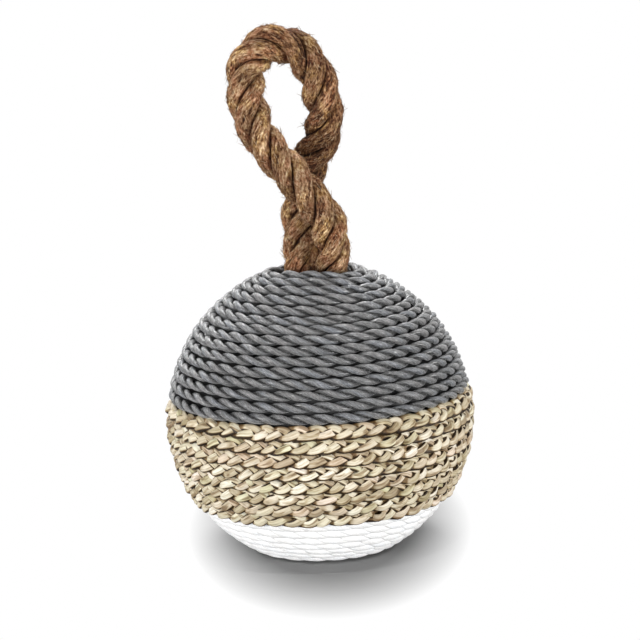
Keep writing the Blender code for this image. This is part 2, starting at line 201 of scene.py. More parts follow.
# Twisted cords as they show. The turns touch, so the cords are a little thicker than their
# plain solids. LINE is the radius that a cord's middle is wound at, and STEP the distance
# between its rings. A cord gets thin over END_LENGTH radii, to END_SIZE of its thickness.
FIRST_TURNS_RISE = 0.0012
SAMPLES_PER_TURN = 720
WOBBLES_PER_TURN = 14.0
CORD_PLIES = 2
CORD_DRIFT = (0.35, 0.05, 1)
CORD_TONE = (0.5, 0.010, 3)
SWELL_CELL = 0.010
CREASE_CELL = (0.0030, 0.26)
CORD_END_LENGTH = 2.5
CORD_END_SIZE = 0.35
SECTION_INNER = 0.03
SECTION_SIDE_GAP = 0.015
GREY_LINE = 0.0771
GREY_STEP = 0.00145
GREY_WOBBLE = 0.00022
GREY_PLY_POINTS = 13
GREY_PLY_WIDTH = 0.62
GREY_CORD = {"radius": 0.00299, "lay": 0.0215, "stretch": 0.90, "crease": 0.05, "swell": 0.13}
WHITE_LINE = 0.0766
WHITE_STEP = 0.0013
WHITE_WOBBLE = 0.00018
WHITE_SECTION = {"points": 15, "offset": 0.14, "seam": 0.05, "seam_width": 0.10}
WHITE_CORD = {"radius": 0.00292, "lay": 0.0228, "stretch": 1.12, "crease": 0.02, "swell": 0.02}

# Plait as it shows. A strip swings to both sides and rises and dips as it passes the others.
BRAID_LINE = 0.0777
BRAID_STEP = 0.0011
BRAID_WOBBLE = 0.00036
PLAIT_PERIOD = 0.0249
PLAIT_SWING = 0.0024
PLAIT_LIFT = 0.00098
PLAIT_BIAS = 0.38
PLAIT_LEAN = 22.0
PLAIT_ROLL = 0.24
PLAIT_VARIES = {
    "lean": (9.0, 0.025, 13),
    "drift": (0.60, 0.06, 1),
    "jitter": (0.85, 0.011, 11),
    "swing": (0.28, 0.009, 2),
    "height": (0.00032, 0.010, 12),
    "roll": (0.42, 0.006, 10),
    "width": (0.20, 0.008, 3),
    "thickness": (0.18, 0.007, 4),
    "tone": (0.10, 0.005, 8),
}
PLAIT_END_LENGTH = 0.008
PLAIT_END_SIZE = 0.4
PLAIT_LABELS = "abc"
LEAF_HALF_WIDTH = 0.0025
LEAF_HALF_THICKNESS = 0.0016
LEAF_PINCH = 0.78
LEAF_ROUNDNESS = 2.6

# Painted shade at the edges of the leaf strips and where they pass under the others, in shares of
# the half width and of the lift
LEAF_LOWER_EDGE = 0.755
LEAF_UPPER_EDGE = 0.83
LEAF_EDGE_FADE = 0.06
LEAF_UNDER = 0.53
LEAF_UNDER_FADE = 0.22

# Colours
WHITE = (1.0, 1.0, 1.0)
# In the cord paints, the groove colour and the two seam depths are painted shade in the grooves
# between the plies
GREY_PAINT = {
    "base": (0.154, 0.155, 0.157),
    "light": (0.208, 0.210, 0.214),
    "dark": (0.105, 0.106, 0.107),
    "groove_shade": (0.03, 0.03, 0.03),
    "seam": (0.19, 0.405),
    "roughness": 0.27,
    "specular": 0.7,
    "relief": 1.0,
    "sheen": 0.30,
}
WHITE_PAINT = {
    "base": (0.96, 0.96, 0.955),
    "light": (0.97, 0.97, 0.965),
    "dark": (0.95, 0.95, 0.945),
    "groove_shade": (0.90, 0.90, 0.90),
    "seam": (0.22, 0.55),
    "roughness": 0.5,
    "specular": 0.4,
    "relief": 0.22,
    "sheen": 0.35,
}
LEAF_TONES = (
    (0.0, (0.34, 0.270, 0.180)),
    (0.28, (0.535, 0.457, 0.335)),
    (0.58, (0.740, 0.672, 0.545)),
    (0.9, (0.90, 0.865, 0.785)),
)
LEAF_TINTS = (
    (0.0, (0.86, 0.92, 0.70)),
    (0.3, (0.97, 0.98, 0.90)),
    (0.65, (1.0, 0.98, 0.95)),
    (1.0, (1.0, 0.88, 0.84)),
)
LEAF_PAINTED_SHADE = (
    (0.0, WHITE),
    (0.24, (0.82, 0.76, 0.66)),
    (0.40, (0.36, 0.255, 0.150)),
    (0.62, (0.045, 0.027, 0.011)),
)
ROPE_TONES = (
    (0.52, (0.050, 0.020, 0.009)),
    (0.575, (0.140, 0.061, 0.026)),
    (0.625, (0.272, 0.142, 0.067)),
    (0.69, (0.440, 0.274, 0.153)),
    (0.78, (0.740, 0.575, 0.385)),
)
FUZZ_TONES = (
    (0.0, (0.10, 0.043, 0.018)),
    (0.45, (0.22, 0.108, 0.045)),
    (0.8, (0.38, 0.235, 0.125)),
    (1.0, (0.60, 0.455, 0.285)),
)
# Floor paper, seen only in the shadow oval: its grey deepens the shadow there, a painted shade
FLOOR_SHADE_TONES = ((0.3, (0.33, 0.33, 0.33)), (0.7, (0.35, 0.35, 0.35)))

# Seeds of the random values
ROPE_SEED = 40
TUFT_SEED = 60
FUZZ_SEED = 77
GREY_LINE_SEED, BRAID_LINE_SEED, WHITE_LINE_SEED = 11, 12, 13
GREY_SEED = 100
PLAIT_SEED = 200
WHITE_SEED = 300


# Numbers and lines


def smooth_noise(x, y, seed, size=128):
    """Smooth random values from -1 to 1, over two coordinates counted in cells."""
    grid = np.random.default_rng(seed).uniform(-1.0, 1.0, (size, size))
    x, y = np.broadcast_arrays(np.asarray(x, float), np.asarray(y, float))
    xi = np.floor(x).astype(int)
    yi = np.floor(y).astype(int)
    fx = x - xi
    fy = y - yi
    fx = fx * fx * (3.0 - 2.0 * fx)
    fy = fy * fy * (3.0 - 2.0 * fy)
    x0, x1 = xi % size, (xi + 1) % size
    y0, y1 = yi % size, (yi + 1) % size
    low = grid[x0, y0] * (1.0 - fx) + grid[x1, y0] * fx
    high = grid[x0, y1] * (1.0 - fx) + grid[x1, y1] * fx
    return low * (1.0 - fy) + high * fy


def uneven(marks, kind, row, seed):
    """Random values along a strand, of a kind given as amount, cell length and own seed."""
    amount, cell, own_seed = kind
    return amount * smooth_noise(marks / cell, row, seed + own_seed)


def end_taper(marks, length, smallest):
    """Share of the full size along a strand that gets thin within a length of its ends."""
    near = np.minimum(marks, marks[-1] - marks) / length
    return smallest + (1.0 - smallest) * np.sqrt(np.clip(near, 0.0, 1.0))


def smoothstep(x):
    x = np.clip(x, 0.0, 1.0)
    return x * x * (3.0 - 2.0 * x)


def unit(vectors):
    return vectors / np.linalg.norm(vectors, axis=-1, keepdims=True)


def square_to(vectors, forward):
    """Unit vectors square to the forward ones, as near as may be to those given."""
    return unit(vectors - forward * np.sum(vectors * forward, axis=-1, keepdims=True))


def lengths_along(points):
    steps = np.linalg.norm(np.diff(points, axis=0), axis=1)
    return np.concatenate([[0.0], np.cumsum(steps)])


def even_points(line, step):
    """Points about a step apart on the line, and how far along it each one is."""
    gone = lengths_along(line)
    marks = np.linspace(0.0, gone[-1], int(gone[-1] / step) + 1)
    return np.stack([np.interp(marks, gone, line[:, axis]) for axis in range(3)], axis=1), marks


def turned(u, v, angle):
    """The rings' two coordinates, each ring turned by its own angle."""
    cosine = np.cos(angle)[:, None]
    sine = np.sin(angle)[:, None]
    return u * cosine - v * sine, u * sine + v * cosine


def swept(middle, first, second, u, v):
    """Rings round a line, with u and v measured along two directions across it."""
    return middle[:, None] + u[..., None] * first[:, None] + v[..., None] * second[:, None]


# Meshes


def add_object(name, data):
    obj = bpy.data.objects.new(name, data)
    bpy.context.scene.collection.objects.link(obj)
    return obj


def mesh_object(name, points, quads, caps, values, material):
    """A smooth object of quads and end caps, with named values at its points."""
    corners = np.concatenate([quads.reshape(-1), *caps]).astype(np.int32)
    totals = np.concatenate([np.full(len(quads), 4), [len(cap) for cap in caps]]).astype(np.int32)
    starts = np.concatenate([[0], np.cumsum(totals)[:-1]]).astype(np.int32)
    mesh = bpy.data.meshes.new(name)
    mesh.vertices.add(len(points))
    mesh.vertices.foreach_set("co", points.astype(np.float32).ravel())
    mesh.loops.add(len(corners))
    mesh.loops.foreach_set("vertex_index", corners)
    mesh.polygons.add(len(starts))
    mesh.polygons.foreach_set("loop_start", starts)
    mesh.polygons.foreach_set("loop_total", totals)
    mesh.update(calc_edges=True)
    mesh.validate()
    mesh.shade_smooth()
    for key, value in values.items():
        attribute = mesh.attributes.new(key, "FLOAT", "POINT")
        attribute.data.foreach_set("value", value.astype(np.float32))
    mesh.materials.append(material)
    return add_object(name, mesh)


def join_tubes(name, tubes, material):
    """One object from several closed tubes, given as (rings, values)."""
    points, quads, caps, values = [], [], [], {}
    offset = 0
    for rings, ring_values in tubes:
        count, sides = rings.shape[:2]
        points.append(rings.reshape(-1, 3))
        i = np.arange(count - 1)[:, None] * sides
        j = np.arange(sides)[None, :]
        k = (j + 1) % sides
        corners = np.stack([i + j, i + k, i + sides + k, i + sides + j], axis=-1)
        quads.append(corners.reshape(-1, 4) + offset)
        caps.append(offset + np.arange(sides)[::-1])
        caps.append(offset + (count - 1) * sides + np.arange(sides))
        for key, value in ring_values.items():
            values.setdefault(key, []).append(np.broadcast_to(value, (count, sides)).reshape(-1))
        offset += count * sides
    values = {key: np.concatenate(value) for key, value in values.items()}
    return mesh_object(
        name, np.concatenate(points), np.concatenate(quads), caps, values, material
    )


# Materials


class Nodes:
    """Short ways to add and join a material's nodes."""

    def __init__(self, name):
        self.material = bpy.data.materials.new(name)
        self.material.use_nodes = True
        self.tree = self.material.node_tree
        self.shader = self.tree.nodes["Principled BSDF"]

    def add(self, kind, **settings):
        node = self.tree.nodes.new(kind)
        for key, value in settings.items():
            setattr(node, key, value)
        return node

    def join(self, source, target):
        self.tree.links.new(source, target)

    def put(self, item, socket):
        """Join an output to a socket, or give the socket a number."""
        if isinstance(item, (int, float)):
            socket.default_value = item
        else:
            self.join(item, socket)

    def value(self, name):
        """A value that the mesh carries at its points."""
        return self.add("ShaderNodeAttribute", attribute_name=name).outputs["Fac"]

    def place(self):
        return self.add("ShaderNodeTexCoord").outputs["Object"]

    def math(self, operation, a, b):
        node = self.add("ShaderNodeMath", operation=operation)
        self.put(a, node.inputs[0])
        self.put(b, node.inputs[1])
        return node.outputs[0]

    def times(self, a, b):
        return self.math("MULTIPLY", a, b)

    def plus(self, a, b):
        return self.math("ADD", a, b)

    def vector_math(self, operation, a, b=None):
        node = self.add("ShaderNodeVectorMath", operation=operation)
        self.join(a, node.inputs[0])
        if b is not None:
            node.inputs[1].default_value = b
        return node.outputs["Value" if operation == "LENGTH" else "Vector"]

    def vector(self, x, y, z=0.0):
        node = self.add("ShaderNodeCombineXYZ")
        for socket, item in zip(node.inputs, (x, y, z)):
            self.put(item, socket)
        return node.outputs[0]

    def noise(self, vector, scale=1.0, detail=2.0, roughness=0.5, distortion=0.0):
        node = self.add("ShaderNodeTexNoise")
        node.inputs["Scale"].default_value = scale
        node.inputs["Detail"].default_value = detail
        node.inputs["Roughness"].default_value = roughness
        node.inputs["Distortion"].default_value = distortion
        self.join(vector, node.inputs["Vector"])
        return node.outputs["Fac"]

    def strand_noise(self, along, across, detail=2.0, roughness=0.5, distortion=0.0):
        """Noise with that many cells to a metre along and across a strand."""
        x = self.times(self.value("along"), along)
        y = self.times(self.value("across"), across)
        return self.noise(self.vector(x, y), 1.0, detail, roughness, distortion)

    def span(self, factor, low, high):
        """The factor, taken from low..high to 0..1."""
        node = self.add("ShaderNodeMapRange")
        node.inputs["From Min"].default_value = low
        node.inputs["From Max"].default_value = high
        self.join(factor, node.inputs["Value"])
        return node.outputs["Result"]

    def ramp(self, factor, stops):
        node = self.add("ShaderNodeValToRGB")
        elements = node.color_ramp.elements
        while len(elements) < len(stops):
            elements.new(0.5)
        for element, (place, colour) in zip(elements, stops):
            element.position = place
            element.color = (*colour, 1.0)
        self.join(factor, node.inputs["Fac"])
        return node.outputs["Color"]

    def tint(self, colour, factor, stops, share=1.0):
        """The colour multiplied by a ramp's colour."""
        node = self.add("ShaderNodeMix", data_type="RGBA", blend_type="MULTIPLY")
        node.inputs[0].default_value = share
        self.join(colour, node.inputs[6])
        self.join(self.ramp(factor, stops), node.inputs[7])
        return node.outputs[2]

    def bump(self, height, strength, distance):
        node = self.add("ShaderNodeBump")
        node.inputs["Strength"].default_value = strength
        node.inputs["Distance"].default_value = distance
        self.join(height, node.inputs["Height"])
        self.join(node.outputs["Normal"], self.shader.inputs["Normal"])

    def finish(self, colour, roughness, **settings):
        """Join colour and roughness, set the shader's plain sockets and give the material."""
        self.join(colour, self.shader.inputs["Base Color"])
        self.put(roughness, self.shader.inputs["Roughness"])
        for name, value in settings.items():
            self.shader.inputs[name.replace("_", " ")].default_value = value
        return self.material


def even_grey(level):
    return (level, level, level)


def cord_material(name, base, light, dark, groove_shade, seam, roughness, specular, relief, sheen):
    """Painted paper cord: fine fibres along each ply, uneven tone, and painted shade in the
    grooves.
    """
    n = Nodes(name)
    fibres = n.strand_noise(330.0, 1050.0, 3.0, 0.7, 0.5)
    broad = n.strand_noise(140.0, 420.0)
    grain = n.strand_noise(1300.0, 1500.0)
    cast = n.strand_noise(40.0, 150.0)
    tone = n.plus(n.times(n.value("tone"), 0.45), n.times(broad, 0.55))
    colour = n.ramp(tone, ((0.28, dark), (0.5, base), (0.74, light)))
    dim, bright = even_grey(1.0 - 0.24 * relief), even_grey(1.0 + 0.30 * relief)
    colour = n.tint(colour, grain, ((0.34, dim), (0.5, WHITE), (0.66, bright)))
    cool = (1.0 - 0.05 * relief, 1.0, 1.0 + 0.09 * relief)
    warm = (1.0 + 0.04 * relief, 1.0, 1.0 - 0.02 * relief)
    colour = n.tint(colour, cast, ((0.38, cool), (0.5, WHITE), (0.64, warm)))
    dim, bright = even_grey(1.0 - 0.36 * relief), even_grey(1.0 + 0.26 * relief)
    colour = n.tint(colour, fibres, ((0.32, dim), (0.50, WHITE), (0.68, bright)))
    # Painted shade: darker towards each ply's seam by its depth, down to the groove colour
    half_groove_shade = even_grey(0.90 + 0.10 * groove_shade[0])
    painted_shades = ((0.0, WHITE), (seam[0], half_groove_shade), (seam[1], groove_shade))
    colour = n.tint(colour, n.value("deep"), painted_shades)
    height = n.plus(n.times(fibres, 0.6), n.times(broad, 0.8))
    n.bump(n.plus(height, n.times(grain, 0.4)), 1.0, 0.0013 * relief)
    rough = n.plus(n.times(fibres, 0.3), roughness - 0.15)
    return n.finish(
        colour,
        rough,
        Specular_IOR_Level=specular,
        Coat_Weight=0.42 * relief,
        Coat_Roughness=0.11,
        Sheen_Weight=sheen,
    )


def leaf_material():
    """Dried leaf strips: pale straw with tan, green and pink strips, and painted shade at their
    edges and where they pass under each other.
    """
    n = Nodes("natural_leaf")
    veins = n.strand_noise(150.0, 2400.0, 3.0, 0.6)
    folds = n.strand_noise(110.0, 900.0, 2.0, 0.5, 0.5)
    colour = n.ramp(n.value("tone"), LEAF_TONES)
    colour = n.tint(colour, n.value("hue"), LEAF_TINTS)
    streaks = ((0.34, (0.66, 0.58, 0.47)), (0.52, WHITE), (0.66, (1.10, 1.10, 1.10)))
    colour = n.tint(colour, veins, streaks, 0.8)
    creases = ((0.36, (0.34, 0.25, 0.16)), (0.44, (0.80, 0.74, 0.64)), (0.50, WHITE))
    colour = n.tint(colour, folds, creases, 0.85)
    # Painted shade from the strip's deep value
    colour = n.tint(colour, n.value("deep"), LEAF_PAINTED_SHADE)
    n.bump(n.plus(n.times(veins, 0.4), folds), 0.8, 0.0009)
    rough = n.plus(n.times(veins, 0.3), 0.33)
    return n.finish(colour, rough, Specular_IOR_Level=0.33)


def rope_material():
    """Matted brown fibres that cross each other, with straw-coloured ones on top."""
    n = Nodes("brown_hemp")
    along = n.value("along")
    across = n.value("across")
    place = n.place()
    layers = []
    for lean, along_scale, across_scale in ((0.35, 380.0, 950.0), (-0.45, 320.0, 800.0)):
        slanted = n.plus(across, n.times(along, lean))
        spot = n.vector(n.times(along, along_scale), n.times(slanted, across_scale), lean)
        layers.append(n.noise(spot, 1.0, 2.0, 0.6, 0.8))
    fibres = n.math("MAXIMUM", layers[0], n.math("SUBTRACT", layers[1], 0.02))
    mottle = n.noise(place, 480.0, 3.0, 0.7)
    tone = n.plus(n.times(fibres, 0.62), n.times(mottle, 0.38))
    tone = n.plus(tone, n.times(n.value("tone"), 0.22))
    colour = n.ramp(tone, ROPE_TONES)
    clouds = ((0.36, (0.62, 0.60, 0.58)), (0.5, (0.95, 0.95, 0.95)), (0.64, (1.30, 1.30, 1.26)))
    colour = n.tint(colour, n.noise(place, 75.0, 2.0), clouds)
    patches = ((0.34, (1.08, 0.84, 0.80)), (0.5, WHITE), (0.66, (0.97, 1.0, 0.76)))
    colour = n.tint(colour, n.noise(place, 150.0, 2.0), patches, 0.9)
    # Painted shade from the deep value, darker in the grooves and low spots of the rope
    painted_shades = ((0.0, WHITE), (0.4, (0.66, 0.60, 0.55)), (0.85, (0.14, 0.08, 0.055)))
    colour = n.tint(colour, n.value("deep"), painted_shades)
    n.bump(tone, 0.8, 0.0013)
    return n.finish(colour, 0.85, Specular_IOR_Level=0.2)


def fuzz_material():
    """Single fibres, each of one tone with a little grain along it."""
    n = Nodes("rope_fibre_ends")
    tone = n.value("tone")
    grain = n.noise(n.vector(n.times(n.value("along"), 900.0), tone))
    stops = ((0.3, (0.6, 0.55, 0.5)), (0.7, (1.1, 1.1, 1.1)))
    return n.finish(n.tint(n.ramp(tone, FUZZ_TONES), grain, stops, 0.4), 0.8)


def speckled_material(name, colour, other, scale, roughness, metallic=0.0):
    """Two colours in fine grains, for the pieces inside the ball."""
    n = Nodes(name)
    grain = n.noise(n.place(), scale, 4.0, 0.6)
    n.bump(grain, 0.3, 0.0004)
    rough = n.plus(n.times(grain, 0.2), roughness - 0.1)
    return n.finish(n.ramp(grain, ((0.35, colour), (0.65, other))), rough, Metallic=metallic)


def floor_material():
    """Grey paper that takes the shadow near the object and deepens it, a painted shade.

    Further out a glow seen only by the camera fades it to plain white, a painted shadow edge.
    """
    n = Nodes("floor_paper")
    place = n.place()
    n.finish(n.ramp(n.noise(place, 40.0, 3.0), FLOOR_SHADE_TONES), 0.9, Specular_IOR_Level=0.0)
    # Painted shadow edge: the glow's share grows outward across the oval
    moved = n.vector_math("SUBTRACT", place, SHADOW_CENTRE)
    reach = n.vector_math("LENGTH", n.vector_math("DIVIDE", moved, SHADOW_REACH))
    fade = n.math("POWER", n.span(reach, SHADOW_FADE_START, 1.0), SHADOW_FADE_CURVE)
    seen = n.add("ShaderNodeLightPath").outputs["Is Camera Ray"]
    both = n.add("ShaderNodeMixShader")
    n.join(n.times(seen, fade), both.inputs[0])
    n.join(n.shader.outputs[0], both.inputs[1])
    n.join(n.add("ShaderNodeEmission").outputs[0], both.inputs[2])
    n.join(both.outputs[0], n.tree.nodes["Material Output"].inputs["Surface"])
    return n.material


# Stage


def aimed_matrix(place, forward, roll=0.0):
    """Matrix of a camera or lamp at a place, looking forward."""
    right = unit(np.cross(forward, [0.0, 0.0, 1.0]))
    up = np.cross(right, forward)
    rolled_right = right * math.cos(roll) + up * math.sin(roll)
    rolled_up = up * math.cos(roll) - right * math.sin(roll)
    matrix = Matrix(np.stack([rolled_right, rolled_up, -forward], axis=1).tolist()).to_4x4()
    matrix.translation = place
    return matrix


def make_camera():
    level = math.cos(CAMERA_DOWN)
    forward = np.array([
        -math.sin(CAMERA_TURN) * level,
        math.cos(CAMERA_TURN) * level,
        -math.sin(CAMERA_DOWN),
    ])
    data = bpy.data.cameras.new("camera")
    data.sensor_width = SENSOR_WIDTH
    data.lens = FOCAL_PIXELS / FRAME_PIXELS * SENSOR_WIDTH
    data.clip_start = 0.05
    data.clip_end = 50.0
    camera = add_object("camera", data)
    camera.matrix_world = aimed_matrix(CAMERA_PLACE, forward, CAMERA_ROLL)
    bpy.context.scene.camera = camera


def make_world():
    """A low even light on the object, and plain white where the world is seen or mirrored."""
    world = bpy.data.worlds.new("studio")
    world.use_nodes = True
    tree = world.node_tree
    background = tree.nodes["Background"]
    background.inputs["Color"].default_value = (*WHITE, 1.0)
    path = tree.nodes.new("ShaderNodeLightPath")
    seen = path.outputs["Is Camera Ray"]
    for ray in ("Is Glossy Ray", "Is Transmission Ray"):
        either = tree.nodes.new("ShaderNodeMath")
        either.operation = "MAXIMUM"
        tree.links.new(seen, either.inputs[0])
        tree.links.new(path.outputs[ray], either.inputs[1])
        seen = either.outputs[0]
    level = tree.nodes.new("ShaderNodeMapRange")
    level.inputs["To Min"].default_value = WORLD_LEVEL
    level.inputs["To Max"].default_value = 1.0
    tree.links.new(seen, level.inputs["Value"])
    tree.links.new(level.outputs["Result"], background.inputs["Strength"])
    bpy.context.scene.world = world


def make_floor():
    corners = ((-1, -1), (1, -1), (1, 1), (-1, 1))
    points = np.array([(x * FLOOR_HALF, y * FLOOR_HALF, 0.0) for x, y in corners])
    floor = mesh_object("floor", points, np.array([[0, 1, 2, 3]]), [], {}, floor_material())


def make_lamp(name, place, target, size, power):
    data = bpy.data.lights.new(name, "AREA")
    data.shape = "DISK"
    data.size = size
    data.energy = power
    lamp = add_object(name, data)
    lamp.matrix_world = aimed_matrix(place, unit(np.array(target) - np.array(place)))


# Lines of the windings


def first_turn_angle(around):
    """Angle from the pole of a turn that hugs both legs of the handle."""
    side = ROPE_FOOT_DIAMETER / 2.0 + FIT_GAP + CORD_DIAMETER / 2.0 + CORD_ROOM
    half = FOOT_SPACING / 2.0
    along = np.abs(np.cos(around - FOOT_TURN))
    across = np.maximum(np.abs(np.sin(around - FOOT_TURN)), 1e-9)
    end = half * along + np.sqrt(np.maximum(side ** 2 - (half * across) ** 2, 0.0))
    distance = np.where(side * along <= half * across, side / across, end)
    return np.arcsin(distance / WOUND_RADIUS)


def last_turn_angle():
    """Angle from the pole of the lowest turn, which lies just over the floor."""
    return math.pi - math.acos((CENTRE_Z - FIT_GAP - CORD_DIAMETER / 2.0) / WOUND_RADIUS)


# Each pitch is the angle from one turn to the next
FIRST_ANGLE = float(first_turn_angle(FOOT_TURN))
BRAID_PITCH = (BRAID_BAND_END - GREY_BAND_END) / BRAID_TURNS
GREY_SPAN = GREY_BAND_END - FIRST_ANGLE - BRAID_PITCH / 2.0
GREY_PITCH = GREY_SPAN / (GREY_TURNS - HALF_TURN)
WHITE_SPAN = last_turn_angle() - BRAID_BAND_END - BRAID_PITCH / 2.0
WHITE_PITCH = WHITE_SPAN / (WHITE_TURNS - HALF_TURN)


def winding_line(first, turns, radius, step, wobble, seed):
    """Even points on the spiral, with outward and sideways directions, and lengths."""
    turn = np.linspace(first, first + turns, turns * SAMPLES_PER_TURN + 1)
    around = math.pi / 2.0 - 2.0 * math.pi * turn
    grey_end = GREY_TURNS - HALF_TURN
    braid_end = GREY_TURNS + BRAID_TURNS + HALF_TURN
    oval = np.maximum(1.0 - turn / OVAL_TURNS, 0.0)
    angle = FIRST_ANGLE - (FIRST_ANGLE - first_turn_angle(around)) * oval
    angle = angle + np.minimum(turn, grey_end) * GREY_PITCH
    angle = angle + np.clip(turn - grey_end, 0.0, braid_end - grey_end) * BRAID_PITCH
    angle = angle + np.maximum(turn - braid_end, 0.0) * WHITE_PITCH
    angle = angle + wobble / radius * smooth_noise(turn * WOBBLES_PER_TURN, 0.5, seed)
    reach = radius + FIRST_TURNS_RISE * oval
    flat = reach * np.sin(angle)
    height = CENTRE_Z + reach * np.cos(angle)
    spiral = np.stack([flat * np.cos(around), flat * np.sin(around), height], axis=1)
    middle, marks = even_points(spiral, step)
    forward = unit(np.gradient(middle, axis=0))
    outward = square_to(middle - np.array([0.0, 0.0, CENTRE_Z]), forward)
    return middle, outward, np.cross(forward, outward), marks


# Twisted cords


def lens_section(points, width):
    """Outline of one ply with deep seams, in shares of the cord's radius, with depths."""
    centre, half = 0.48, 0.52
    limit = math.acos((SECTION_INNER - centre) / half)
    place = np.linspace(-limit, limit, points)
    u = centre + half * np.cos(place)
    v = width * np.sin(place)
    deep = 1.0 - np.hypot(u, v)
    return np.append(u, SECTION_INNER), np.append(v, 0.0), np.append(deep, 1.0)


def round_section(plies, points, offset, seam, seam_width):
    """Outline of one ply of a full, round cord: its outer arc and two straight inner sides."""
    limit = math.pi / plies - SECTION_SIDE_GAP
    place = np.linspace(-limit, limit, points)
    reach = offset * np.cos(place) + np.sqrt((1.0 - offset) ** 2 - (offset * np.sin(place)) ** 2)
    reach = reach - seam * np.exp(-((limit - np.abs(place)) / seam_width) ** 2)
    u = reach * np.cos(place)
    v = reach * np.sin(place)
    return np.append(u, SECTION_INNER), np.append(v, 0.0), np.append(1.0 - reach, 1.0)


def twisted_cord(name, line, section, material, seed, radius, lay, stretch, crease, swell):
    """Two-ply cord: each ply is a closed tube that winds round the cord's line."""
    middle, outward, sideways, marks = line
    u, v, deep = section
    twist = 2.0 * math.pi * marks / lay + uneven(marks, CORD_DRIFT, 0.5, seed)
    size = radius * end_taper(marks, CORD_END_LENGTH * radius, CORD_END_SIZE)
    girth = lengths_along(np.stack([u, v], axis=1))
    tubes = []
    for ply in range(CORD_PLIES):
        thick = size * (1.0 + uneven(marks, (swell, SWELL_CELL, 2), ply + 0.5, seed))
        along, around = marks[:, None] / CREASE_CELL[0], girth / CREASE_CELL[1]
        folds = smooth_noise(along, around, seed + 5 + ply)
        scale = thick[:, None] * (1.0 + crease * folds)
        phase = twist + 2.0 * math.pi * ply / CORD_PLIES
        out, side = turned(u * scale, v * scale, phase)
        tone = 0.5 + uneven(marks, CORD_TONE, ply * 3 + 0.5, seed)
        # deep is the ply's depth, which the material turns into painted shade in the grooves
        values = {
            "along": marks[:, None],
            "across": girth * radius + ply * 0.0137,
            "deep": deep,
            "tone": tone[:, None],
        }
        tubes.append((swept(middle, outward, sideways, out, stretch * side), values))
    return join_tubes(name, tubes, material)


# Plait of leaf strips


def leaf_section():
    """Outline of a leaf strip in shares of its half width and half thickness."""
    half = np.array([1.0, 0.95, 0.88, 0.80, 0.50, 0.0])
    crown = (1.0 - half ** LEAF_ROUNDNESS) ** 0.6
    x = np.concatenate([half, -half[4::-1], [-0.80, -0.35, 0.0, 0.35, 0.80]])
    y = np.concatenate([crown, crown[4::-1], [-0.6, -0.95, -1.0, -0.95, -0.6]])
    return x, y


def plait_strand(name, line, strand, material, seed):
    """One strip of the plait: it swings from side to side, over and under the other two."""
    middle, outward, sideways, marks = line

    def varied(kind, row=strand + 0.5):
        return uneven(marks, PLAIT_VARIES[kind], row, seed)

    lean = np.radians(PLAIT_LEAN + varied("lean", 0.5))[:, None]
    phase = 2.0 * math.pi * marks / PLAIT_PERIOD + 2.0 * math.pi * strand / len(PLAIT_LABELS)
    phase = phase + varied("drift", 0.5) + varied("jitter")
    ends = end_taper(marks, PLAIT_END_LENGTH, PLAIT_END_SIZE)
    away = PLAIT_SWING * np.sin(phase) * (1.0 + varied("swing")) * ends
    weave = np.sin(2.0 * phase) - PLAIT_BIAS * np.cos(phase)
    height = (PLAIT_LIFT * weave + varied("height")) * ends
    up = sideways * np.cos(lean) - outward * np.sin(lean)
    out = outward * np.cos(lean) + sideways * np.sin(lean)
    own = middle + away[:, None] * up + height[:, None] * out

    forward = unit(np.gradient(own, axis=0))
    roll = (PLAIT_ROLL * np.cos(phase) + varied("roll"))[:, None]
    normal = square_to(out * np.cos(roll) + up * np.sin(roll), forward)
    flank = np.cross(forward, normal)
    x, y = leaf_section()
    angle = np.arctan2(y, x)
    half_wide = LEAF_HALF_WIDTH * (1.0 + varied("width")) * ends
    half_wide = half_wide * (LEAF_PINCH + (1.0 - LEAF_PINCH) * np.abs(np.cos(phase)))
    half_thick = LEAF_HALF_THICKNESS * (1.0 + varied("thickness")) * ends
    ridge = 0.22 * smooth_noise(marks[:, None] / 0.0045, angle * 2.2 + 9.0 * strand, seed + 5)
    wide = x * half_wide[:, None] * (1.0 + 0.4 * ridge)
    thick = y * half_thick[:, None] * (1.0 + ridge)

    # Painted shade: darker where the strip passes under the others, at its edges where the strips
    # meet, and on its back
    over = np.clip(weave[:, None] * 0.42 + 0.5, 0.0, 1.0)
    under = np.clip((LEAF_UNDER - over) / LEAF_UNDER_FADE, 0.0, 1.0)
    edge_start = np.where(x > 0.0, LEAF_UPPER_EDGE, LEAF_LOWER_EDGE)
    edge = np.clip((np.abs(x) - edge_start) / LEAF_EDGE_FADE, 0.0, 1.0)
    deep = np.clip(0.46 * under + edge + 0.20 * np.clip(0.3 - y, 0.0, 1.0), 0.0, 1.0)
    leaf = np.floor(phase / math.pi + 0.5)
    tone = 0.5 + 0.5 * smooth_noise(leaf * 0.73 + 31.0 * strand, 0.5, seed + 7)
    tone = (tone + varied("tone"))[:, None]
    tone = tone + 0.14 * smooth_noise(marks[:, None] / 0.008, angle * 1.5, seed + 6)
    hue = 0.5 + 0.5 * smooth_noise(leaf * 0.61 + 17.0 * strand, 3.5, seed + 9)
    values = {
        "along": marks[:, None] + 0.5 * strand,
        "across": angle * 0.0011 + strand * 0.0171,
        "deep": deep,
        "tone": np.clip(tone, 0.0, 1.0),
        "hue": hue[:, None],
    }
    return join_tubes(name, [(swept(own, flank, normal, wide, thick), values)], material)


# Handle rope


def smooth_line(route, steps=24):
    """A smooth curve through the route's points."""
    points = np.array(route)
    padded = np.vstack([2.0 * points[0] - points[1], points, 2.0 * points[-1] - points[-2]])
    line = []
    for a, b, c, d in zip(padded[:-3], padded[1:-2], padded[2:-1], padded[3:]):
        for i in range(steps):
            t = i / steps
            curve = 2.0 * b + (c - a) * t
            curve = curve + (2.0 * a - 5.0 * b + 4.0 * c - d) * t ** 2
            curve = curve + (3.0 * b - a - 3.0 * c + d) * t ** 3
            line.append(curve / 2.0)
    line.append(points[-1])
    return np.array(line)


